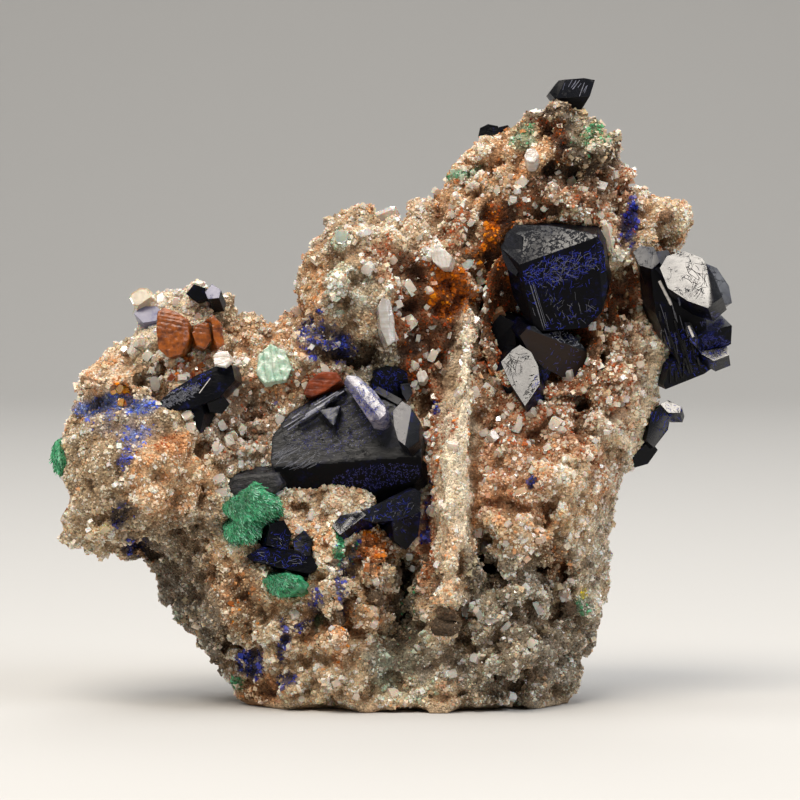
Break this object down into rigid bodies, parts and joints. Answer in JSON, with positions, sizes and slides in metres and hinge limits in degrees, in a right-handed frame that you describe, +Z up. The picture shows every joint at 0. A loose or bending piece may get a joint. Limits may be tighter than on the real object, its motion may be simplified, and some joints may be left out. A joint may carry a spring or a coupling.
{
  "type": "azurite with cerussite specimen",
  "caption": "Free-standing mineral specimen: dark blue azurite crystals with pale and amber cerussite and green malachite on a lumpy cream and rust-brown piece of ore.",
  "frame": {"origin": "under the middle of the specimen, on the surface that its flat foot rests on", "axes": "+Z up, +X to the right and -Y towards the viewer of its best side"},
  "size_m": [0.0944, 0.0464, 0.0871],
  "materials": {
    "ore": "rough, coated with small crystals",
    "druse": "granular, iron-stained",
    "azurite": "polished crystal faces",
    "white_cerussite": "glossy",
    "clear_cerussite": "clear and glossy",
    "amber_cerussite": "satin, striated",
    "green_cerussite": "glossy",
    "malachite": "silky, fibrous"
  },
  "bodies": {
    "root": {"ore_matrix": "ore", "hollow_druse": "druse", "azurite_block": "azurite", "azurite_tablets": "azurite", "azurite_slab": "azurite", "azurite_glint": "azurite", "azurite_splinters": "azurite", "azurite_lower_blades": "azurite", "azurite_west_blades": "azurite", "azurite_fan": "azurite", "azurite_tail": "azurite", "azurite_tip": "azurite", "azurite_bead": "azurite", "azurite_west_tablet": "azurite", "azurite_lilac": "azurite", "azurite_north_west": "azurite", "cerussite_amber_large": "amber_cerussite", "cerussite_amber_small": "amber_cerussite", "cerussite_amber_crescent": "amber_cerussite", "cerussite_amber_deep": "amber_cerussite", "cerussite_white_block": "white_cerussite", "cerussite_white_twin": "white_cerussite", "cerussite_white_hexagon": "white_cerussite", "cerussite_white_bead": "white_cerussite", "cerussite_green_block": "green_cerussite", "cerussite_clear_prism": "clear_cerussite", "cerussite_clear_column": "clear_cerussite", "malachite_fan": "malachite", "malachite_edge": "malachite", "malachite_south_west": "malachite"}
  },
  "joints": []
}
